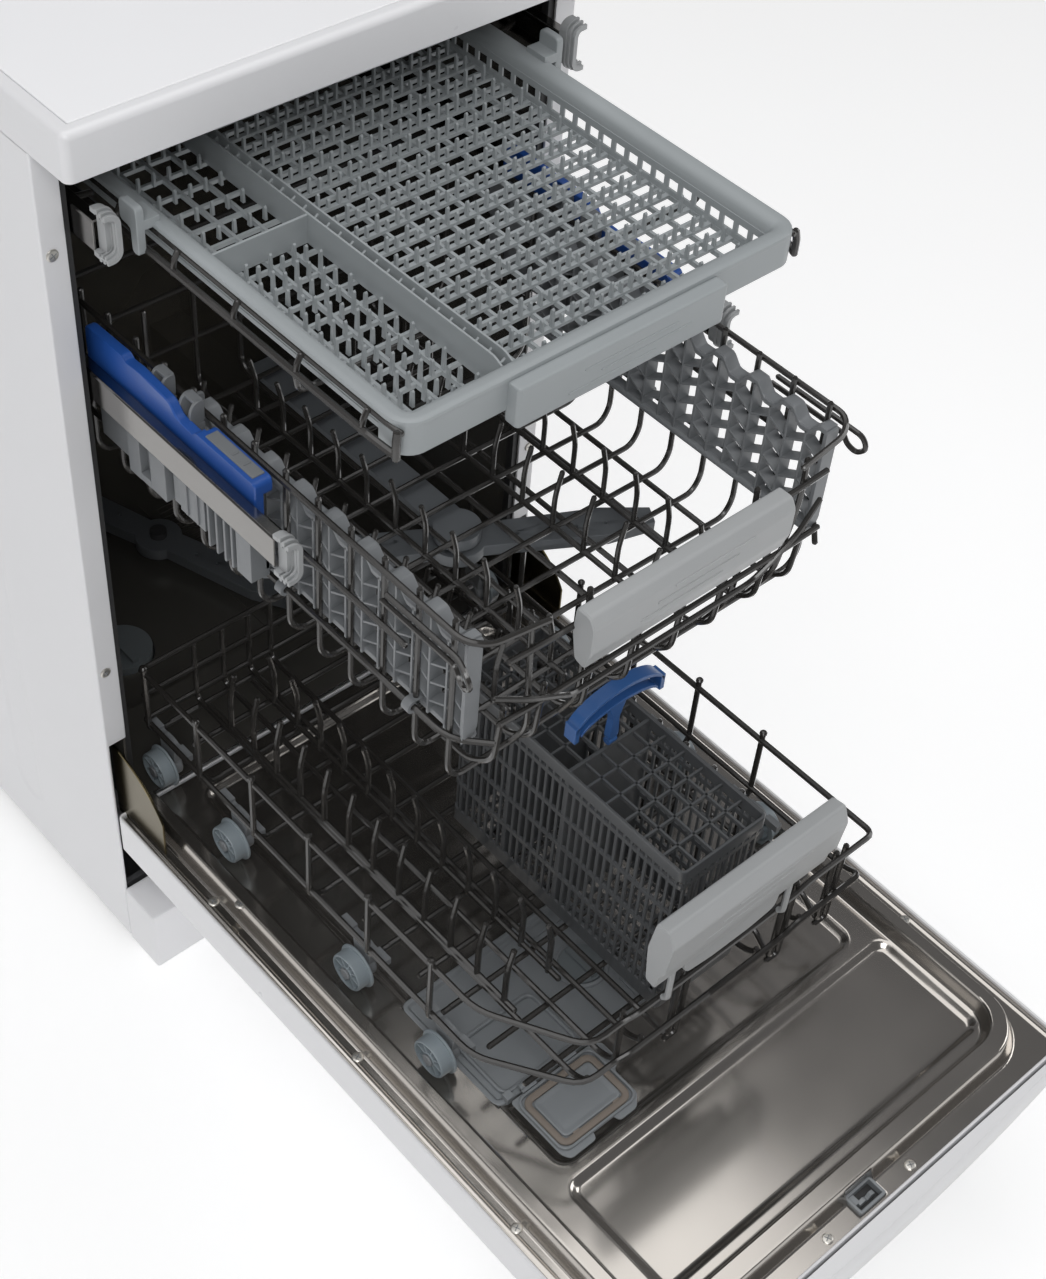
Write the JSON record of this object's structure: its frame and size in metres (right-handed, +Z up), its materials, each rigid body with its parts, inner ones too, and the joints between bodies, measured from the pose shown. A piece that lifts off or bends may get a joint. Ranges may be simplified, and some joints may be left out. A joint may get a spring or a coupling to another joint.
{
  "type": "slim dishwasher",
  "caption": "Slim upright dishwasher with its own worktop, its door lowered and a cutlery tray and two wire baskets drawn out on rails and wheels.",
  "frame": {"origin": "centre of the open machine's footprint, on the floor", "axes": "+Z up, front faces -Y, +X to the right seen from the front"},
  "size_m": [0.448, 1.214, 0.845],
  "materials": {
    "white_enamel": "satin powder coat",
    "white_laminate": "satin laminate",
    "galvanised_steel": "spangled zinc",
    "base_plastic": "moulded",
    "stainless_tub": "polished",
    "rubber_seal": "matt",
    "cast_weight": "painted",
    "foot_plastic": "moulded",
    "filter_plastic": "moulded",
    "white_plastic": "satin",
    "spray_plastic": "moulded",
    "screw_steel": "bright",
    "stainless_door": "polished and brushed",
    "hinge_zinc": "passivated zinc",
    "dispenser_grey": "satin",
    "button_silver": "satin",
    "tray_grey": "satin moulded",
    "coated_wire": "nylon coated wire",
    "handle_grey": "satin moulded",
    "wheel_grey": "satin moulded",
    "blue_plastic": "satin moulded",
    "cutlery_dark": "satin moulded"
  },
  "bodies": {
    "cabinet": {"worktop": "white_enamel", "worktop_panel": "white_laminate", "side_panel_left": "white_enamel", "side_panel_right": "white_enamel", "rear_panel": "galvanised_steel", "base_tray": "base_plastic", "plinth": "white_enamel", "tub": "stainless_tub", "tub_seal": "rubber_seal", "counterweight": "cast_weight", "levelling_feet": "foot_plastic", "sump": "base_plastic", "filter_plate": "stainless_tub", "pumps": "base_plastic", "inlet_valve": "white_plastic", "rail_guides": "stainless_tub", "hinge_brackets": "galvanised_steel", "door_springs": "galvanised_steel", "panel_screws": "screw_steel"},
    "filter": {"filter_cylinder": "filter_plastic"},
    "salt_cap": {"salt_cap": "filter_plastic"},
    "ceiling_arm": {"ceiling_spray_arm": "spray_plastic"},
    "lower_arm": {"lower_spray_arm": "spray_plastic"},
    "door": {"door_outer_panel": "white_enamel", "door_inner_panel": "stainless_door", "control_fascia": "white_plastic", "hinge_plates": "hinge_zinc", "dispenser_housing": "dispenser_grey", "door_latch": "dispenser_grey", "door_screws": "screw_steel"},
    "dispenser_lid": {"dispenser_lid": "dispenser_grey"},
    "rinse_cap": {"rinse_aid_cap": "filter_plastic"},
    "power_button": {"power_button": "button_silver"},
    "program_button": {"program_button": "button_silver"},
    "tray": {"tray_frame": "tray_grey", "tray_grid": "tray_grey", "tray_dividers": "tray_grey", "tray_wires": "coated_wire"},
    "tray_slides": {"tray_rails": "stainless_tub", "tray_rail_caps": "handle_grey"},
    "upper_basket": {"upper_basket_wires": "coated_wire", "upper_basket_handle": "handle_grey", "height_adjusters": "handle_grey", "upper_spray_feed": "spray_plastic"},
    "upper_arm": {"upper_spray_arm": "spray_plastic"},
    "left_cup_rack": {"cup_rack_left": "handle_grey"},
    "right_cup_rack": {"cup_rack_right": "handle_grey"},
    "left_lever": {"height_lever_left": "blue_plastic"},
    "right_lever": {"height_lever_right": "blue_plastic"},
    "slides": {"upper_slides": "stainless_tub", "slide_end_caps": "handle_grey"},
    "lower_basket": {"lower_basket_wires": "coated_wire", "lower_basket_handle": "handle_grey", "wheel_axles": "handle_grey", "cutlery_basket": "cutlery_dark"},
    "wheels_1": {"lower_wheels_1": "wheel_grey"},
    "wheels_2": {"lower_wheels_2": "wheel_grey"},
    "wheels_3": {"lower_wheels_3": "wheel_grey"},
    "wheels_4": {"lower_wheels_4": "wheel_grey"},
    "basket_carrier": {"cutlery_basket_handle": "blue_plastic"}
  },
  "joints": [
    {"name": "door_hinge", "type": "hinge", "parent": "cabinet", "child": "door", "pos_m": [0, 0.04, 0.173], "axis": [1, 0, 0], "range_deg": [-0.35, 0]},
    {"name": "tray_slide", "type": "slide", "parent": "cabinet", "child": "tray", "axis": [0, 1, 0], "range_m": [0, 0.295]},
    {"name": "tray_rail_slide", "type": "slide", "parent": "cabinet", "child": "tray_slides", "axis": [0, 1, 0], "range_m": [0, 0.1475]},
    {"name": "upper_basket_slide", "type": "slide", "parent": "cabinet", "child": "upper_basket", "axis": [0, 1, 0], "range_m": [0, 0.39]},
    {"name": "upper_rail_slide", "type": "slide", "parent": "cabinet", "child": "slides", "axis": [0, 1, 0], "range_m": [0, 0.2184]},
    {"name": "lower_basket_slide", "type": "slide", "parent": "cabinet", "child": "lower_basket", "axis": [0, 1, 0], "range_m": [0, 0.485]},
    {"name": "wheel_1_roll", "type": "hinge", "parent": "lower_basket", "child": "wheels_1", "pos_m": [0, 0.053, 0.205], "axis": [1, 0, 0], "continuous": true},
    {"name": "wheel_2_roll", "type": "hinge", "parent": "lower_basket", "child": "wheels_2", "pos_m": [0, -0.045, 0.205], "axis": [1, 0, 0], "continuous": true},
    {"name": "wheel_3_roll", "type": "hinge", "parent": "lower_basket", "child": "wheels_3", "pos_m": [0, -0.202, 0.205], "axis": [1, 0, 0], "continuous": true},
    {"name": "wheel_4_roll", "type": "hinge", "parent": "lower_basket", "child": "wheels_4", "pos_m": [0, -0.3, 0.205], "axis": [1, 0, 0], "continuous": true},
    {"name": "lower_arm_spin", "type": "hinge", "parent": "cabinet", "child": "lower_arm", "pos_m": [0, 0.315, 0.164], "axis": [0, 0, 1], "continuous": true},
    {"name": "ceiling_arm_spin", "type": "hinge", "parent": "cabinet", "child": "ceiling_arm", "pos_m": [0, 0.315, 0.78], "axis": [0, 0, 1], "continuous": true},
    {"name": "upper_arm_spin", "type": "hinge", "parent": "upper_basket", "child": "upper_arm", "pos_m": [0, -0.1, 0.4765], "axis": [0, 0, 1], "continuous": true},
    {"name": "filter_twist", "type": "hinge", "parent": "cabinet", "child": "filter", "pos_m": [0.095, 0.255, 0.15], "axis": [0, 0, 1], "range_deg": [0, 45]},
    {"name": "salt_cap_twist", "type": "hinge", "parent": "cabinet", "child": "salt_cap", "pos_m": [-0.1, 0.23, 0.15], "axis": [0, 0, 1], "range_deg": [0, 90]},
    {"name": "dispenser_lid_hinge", "type": "hinge", "parent": "door", "child": "dispenser_lid", "pos_m": [-0.11, -0.354, 0.1875], "axis": [1, 0, 0], "range_deg": [-30, 0]},
    {"name": "rinse_cap_twist", "type": "hinge", "parent": "door", "child": "rinse_cap", "pos_m": [-0.025, -0.3, 0.183], "axis": [0, 0, 1], "range_deg": [0, 90]},
    {"name": "power_button_press", "type": "slide", "parent": "door", "child": "power_button", "axis": [0, 0, 1], "range_m": [0, 0.0015], "stiffness_N_per_m": 800, "springref_m": -0.002},
    {"name": "program_button_press", "type": "slide", "parent": "door", "child": "program_button", "axis": [0, 0, 1], "range_m": [0, 0.0015], "stiffness_N_per_m": 800, "springref_m": -0.002},
    {"name": "left_cup_rack_fold", "type": "hinge", "parent": "upper_basket", "child": "left_cup_rack", "pos_m": [-0.1535, -0.15, 0.5475], "axis": [0, 1, 0], "range_deg": [0, 80]},
    {"name": "right_cup_rack_fold", "type": "hinge", "parent": "upper_basket", "child": "right_cup_rack", "pos_m": [0.1535, -0.15, 0.5475], "axis": [0, 1, 0], "range_deg": [-80, 0]},
    {"name": "left_lever_tilt", "type": "hinge", "parent": "upper_basket", "child": "left_lever", "pos_m": [-0.185, -0.025, 0.622], "axis": [1, 0, 0], "range_deg": [-4, 0]},
    {"name": "right_lever_tilt", "type": "hinge", "parent": "upper_basket", "child": "right_lever", "pos_m": [0.185, -0.025, 0.622], "axis": [1, 0, 0], "range_deg": [-4, 0]},
    {"name": "basket_handle_fold", "type": "hinge", "parent": "lower_basket", "child": "basket_carrier", "pos_m": [0.007, -0.2685, 0.4042], "axis": [1, 0, 0], "range_deg": [-80, 0]}
  ],
  "couplings": [
    {"joint": "tray_rail_slide", "follows": "tray_slide", "ratio": 0.5},
    {"joint": "upper_rail_slide", "follows": "upper_basket_slide", "ratio": 0.56},
    {"joint": "wheel_1_roll", "follows": "lower_basket_slide", "rad_per_m": -52.632},
    {"joint": "wheel_2_roll", "follows": "lower_basket_slide", "rad_per_m": -52.632},
    {"joint": "wheel_3_roll", "follows": "lower_basket_slide", "rad_per_m": -52.632},
    {"joint": "wheel_4_roll", "follows": "lower_basket_slide", "rad_per_m": -52.632}
  ]
}
